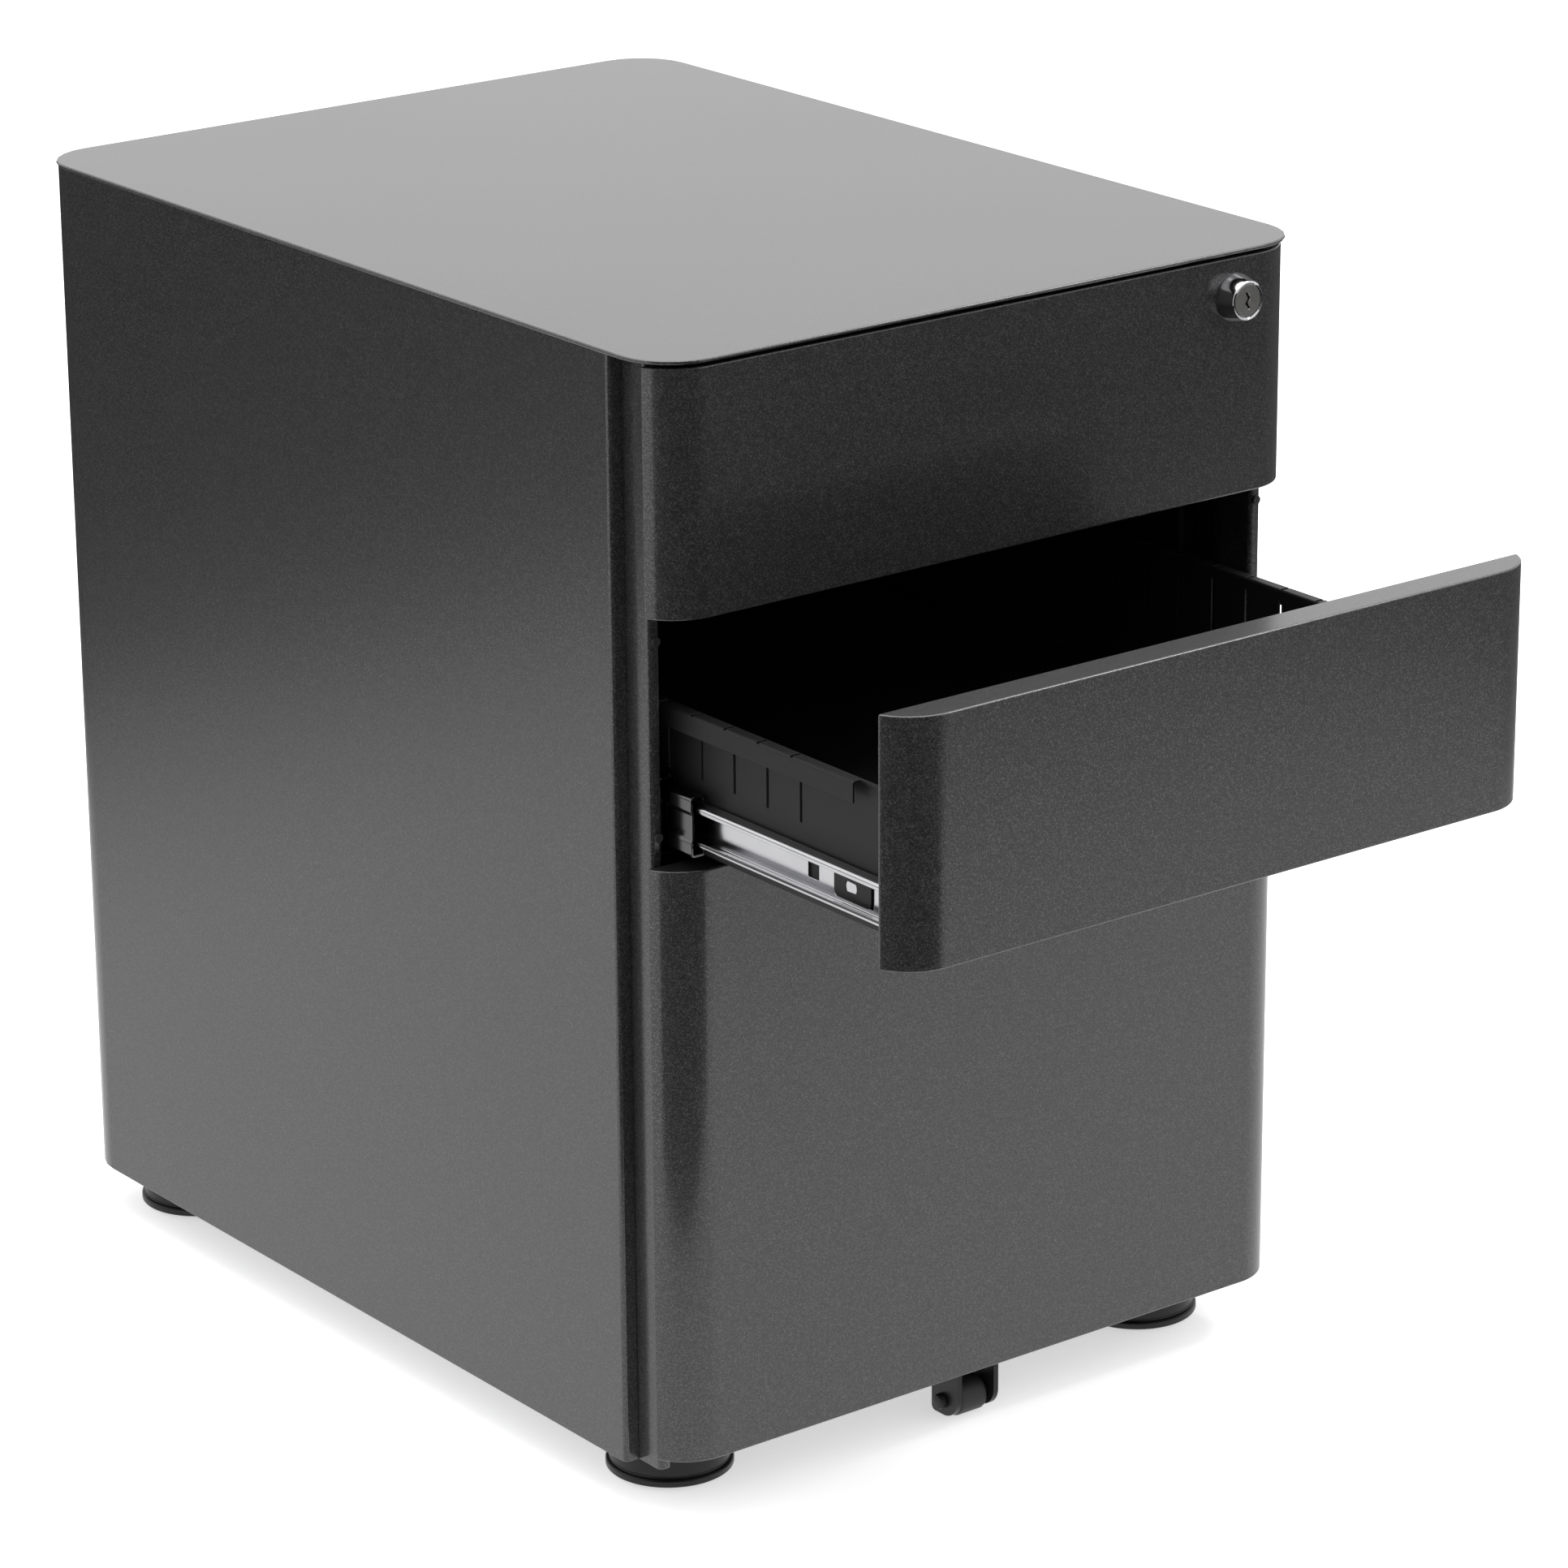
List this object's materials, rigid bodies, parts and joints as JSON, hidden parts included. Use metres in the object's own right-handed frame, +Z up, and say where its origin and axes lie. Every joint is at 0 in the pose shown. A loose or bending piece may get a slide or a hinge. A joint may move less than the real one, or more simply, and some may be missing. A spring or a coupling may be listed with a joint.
{
  "type": "rolling pedestal cabinet",
  "caption": "Charcoal steel pedestal cabinet on hooded casters, with shallow drawers over a file drawer, ball slides, edge finger pulls and a lock; the middle drawer is partly open.",
  "frame": {"origin": "on the floor, in the middle of the cabinet's plan as stored, with the middle drawer partly open", "axes": "+X to the cabinet's right seen from its front, +Y towards its back so that drawers pull out along -Y, +Z up"},
  "size_m": [0.398, 0.717, 0.585],
  "materials": {
    "charcoal_paint": "semi-gloss metallic",
    "dark_paint": "satin",
    "zinc": "bright zinc",
    "chrome": "polished",
    "lock_metal": "satin",
    "black_plastic": "fine matte",
    "wheel_rubber": "satin"
  },
  "bodies": {
    "carcass": {"wrapper": "charcoal_paint", "lid": "charcoal_paint", "left_stile": "charcoal_paint", "right_stile": "charcoal_paint", "front_top_rail": "dark_paint", "rear_top_rail": "dark_paint", "base_pan": "dark_paint", "uprights": "dark_paint", "top_cabinet_rails": "zinc", "middle_cabinet_rails": "zinc", "bottom_cabinet_rails": "zinc", "caster_sockets": "zinc", "caster_screws": "zinc", "lock_bar_guides": "black_plastic", "drawer_bumpers": "wheel_rubber"},
    "top_slide": {"top_middle_rails": "zinc"},
    "top_outer_cages": {"top_outer_ball_cages": "black_plastic"},
    "top_inner_cages": {"top_inner_ball_cages": "black_plastic"},
    "top_drawer": {"top_front": "charcoal_paint", "top_inner_front": "dark_paint", "top_tray": "dark_paint", "top_catch": "zinc", "top_drawer_rails": "zinc", "top_rail_levers": "black_plastic", "lock_case": "chrome"},
    "middle_slide": {"middle_middle_rails": "zinc"},
    "middle_outer_cages": {"middle_outer_ball_cages": "black_plastic"},
    "middle_inner_cages": {"middle_inner_ball_cages": "black_plastic"},
    "middle_drawer": {"middle_front": "charcoal_paint", "middle_inner_front": "dark_paint", "middle_tray": "dark_paint", "middle_catch": "zinc", "middle_drawer_rails": "zinc", "middle_rail_levers": "black_plastic"},
    "bottom_slide": {"bottom_middle_rails": "zinc"},
    "bottom_outer_cages": {"bottom_outer_ball_cages": "black_plastic"},
    "bottom_inner_cages": {"bottom_inner_ball_cages": "black_plastic"},
    "bottom_drawer": {"bottom_front": "charcoal_paint", "bottom_inner_front": "dark_paint", "bottom_tray": "dark_paint", "bottom_catch": "zinc", "bottom_drawer_rails": "zinc", "bottom_rail_levers": "black_plastic", "file_rails": "zinc", "fifth_wheel_bracket": "black_plastic"},
    "lock_plug": {"lock_plug": "lock_metal", "lock_cam": "zinc"},
    "lock_bar": {"lock_bar": "zinc"},
    "fifth_wheel": {"fifth_wheel": "wheel_rubber"},
    "caster_front_left_fork": {"caster_hood_front_left": "black_plastic"},
    "caster_front_left_wheels": {"caster_wheels_front_left": "wheel_rubber"},
    "caster_front_right_fork": {"caster_hood_front_right": "black_plastic"},
    "caster_front_right_wheels": {"caster_wheels_front_right": "wheel_rubber"},
    "caster_rear_left_fork": {"caster_hood_rear_left": "black_plastic"},
    "caster_rear_left_wheels": {"caster_wheels_rear_left": "wheel_rubber"},
    "caster_rear_right_fork": {"caster_hood_rear_right": "black_plastic"},
    "caster_rear_right_wheels": {"caster_wheels_rear_right": "wheel_rubber"}
  },
  "joints": [
    {"name": "top_slide_first_stage", "type": "slide", "parent": "carcass", "child": "top_slide", "axis": [0, -1, 0], "range_m": [0, 0.2]},
    {"name": "top_drawer_second_stage", "type": "slide", "parent": "top_slide", "child": "top_drawer", "axis": [0, -1, 0], "range_m": [0, 0.2]},
    {"name": "top_outer_cage_roll", "type": "slide", "parent": "carcass", "child": "top_outer_cages", "axis": [0, -1, 0], "range_m": [0, 0.1]},
    {"name": "top_inner_cage_roll", "type": "slide", "parent": "top_slide", "child": "top_inner_cages", "axis": [0, -1, 0], "range_m": [0, 0.1]},
    {"name": "middle_slide_first_stage", "type": "slide", "parent": "carcass", "child": "middle_slide", "axis": [0, -1, 0], "range_m": [-0.022, 0.178]},
    {"name": "middle_drawer_second_stage", "type": "slide", "parent": "middle_slide", "child": "middle_drawer", "axis": [0, -1, 0], "range_m": [-0.152, 0.048]},
    {"name": "middle_outer_cage_roll", "type": "slide", "parent": "carcass", "child": "middle_outer_cages", "axis": [0, -1, 0], "range_m": [-0.011, 0.089]},
    {"name": "middle_inner_cage_roll", "type": "slide", "parent": "middle_slide", "child": "middle_inner_cages", "axis": [0, -1, 0], "range_m": [-0.076, 0.024]},
    {"name": "bottom_slide_first_stage", "type": "slide", "parent": "carcass", "child": "bottom_slide", "axis": [0, -1, 0], "range_m": [0, 0.2]},
    {"name": "bottom_drawer_second_stage", "type": "slide", "parent": "bottom_slide", "child": "bottom_drawer", "axis": [0, -1, 0], "range_m": [0, 0.2]},
    {"name": "bottom_outer_cage_roll", "type": "slide", "parent": "carcass", "child": "bottom_outer_cages", "axis": [0, -1, 0], "range_m": [0, 0.1]},
    {"name": "bottom_inner_cage_roll", "type": "slide", "parent": "bottom_slide", "child": "bottom_inner_cages", "axis": [0, -1, 0], "range_m": [0, 0.1]},
    {"name": "lock_turn", "type": "hinge", "parent": "top_drawer", "child": "lock_plug", "pos_m": [0.152, -0.18, 0.561], "axis": [0, 1, 0], "range_deg": [0, 90]},
    {"name": "lock_bar_drop", "type": "slide", "parent": "carcass", "child": "lock_bar", "axis": [0, 0, -1], "range_m": [0, 0.008]},
    {"name": "fifth_wheel_roll", "type": "hinge", "parent": "bottom_drawer", "child": "fifth_wheel", "pos_m": [0, -0.1635, 0.0115], "axis": [1, 0, 0], "continuous": true},
    {"name": "caster_front_left_swivel", "type": "hinge", "parent": "carcass", "child": "caster_front_left_fork", "pos_m": [-0.152, -0.12, 0.03], "axis": [0, 0, 1], "continuous": true},
    {"name": "caster_front_left_roll", "type": "hinge", "parent": "caster_front_left_fork", "child": "caster_front_left_wheels", "pos_m": [-0.152, -0.113, 0.0135], "axis": [1, 0, 0], "continuous": true},
    {"name": "caster_front_right_swivel", "type": "hinge", "parent": "carcass", "child": "caster_front_right_fork", "pos_m": [0.152, -0.12, 0.03], "axis": [0, 0, 1], "continuous": true},
    {"name": "caster_front_right_roll", "type": "hinge", "parent": "caster_front_right_fork", "child": "caster_front_right_wheels", "pos_m": [0.152, -0.113, 0.0135], "axis": [1, 0, 0], "continuous": true},
    {"name": "caster_rear_left_swivel", "type": "hinge", "parent": "carcass", "child": "caster_rear_left_fork", "pos_m": [-0.152, 0.313, 0.03], "axis": [0, 0, 1], "continuous": true},
    {"name": "caster_rear_left_roll", "type": "hinge", "parent": "caster_rear_left_fork", "child": "caster_rear_left_wheels", "pos_m": [-0.152, 0.32, 0.0135], "axis": [1, 0, 0], "continuous": true},
    {"name": "caster_rear_right_swivel", "type": "hinge", "parent": "carcass", "child": "caster_rear_right_fork", "pos_m": [0.152, 0.313, 0.03], "axis": [0, 0, 1], "continuous": true},
    {"name": "caster_rear_right_roll", "type": "hinge", "parent": "caster_rear_right_fork", "child": "caster_rear_right_wheels", "pos_m": [0.152, 0.32, 0.0135], "axis": [1, 0, 0], "continuous": true}
  ],
  "couplings": [
    {"joint": "top_outer_cage_roll", "follows": "top_slide_first_stage", "ratio": 0.5},
    {"joint": "top_inner_cage_roll", "follows": "top_drawer_second_stage", "ratio": 0.5},
    {"joint": "middle_outer_cage_roll", "follows": "middle_slide_first_stage", "ratio": 0.5},
    {"joint": "middle_inner_cage_roll", "follows": "middle_drawer_second_stage", "ratio": 0.5},
    {"joint": "bottom_outer_cage_roll", "follows": "bottom_slide_first_stage", "ratio": 0.5},
    {"joint": "bottom_inner_cage_roll", "follows": "bottom_drawer_second_stage", "ratio": 0.5},
    {"joint": "lock_turn", "follows": "lock_bar_drop", "rad_per_m": 196.3}
  ]
}
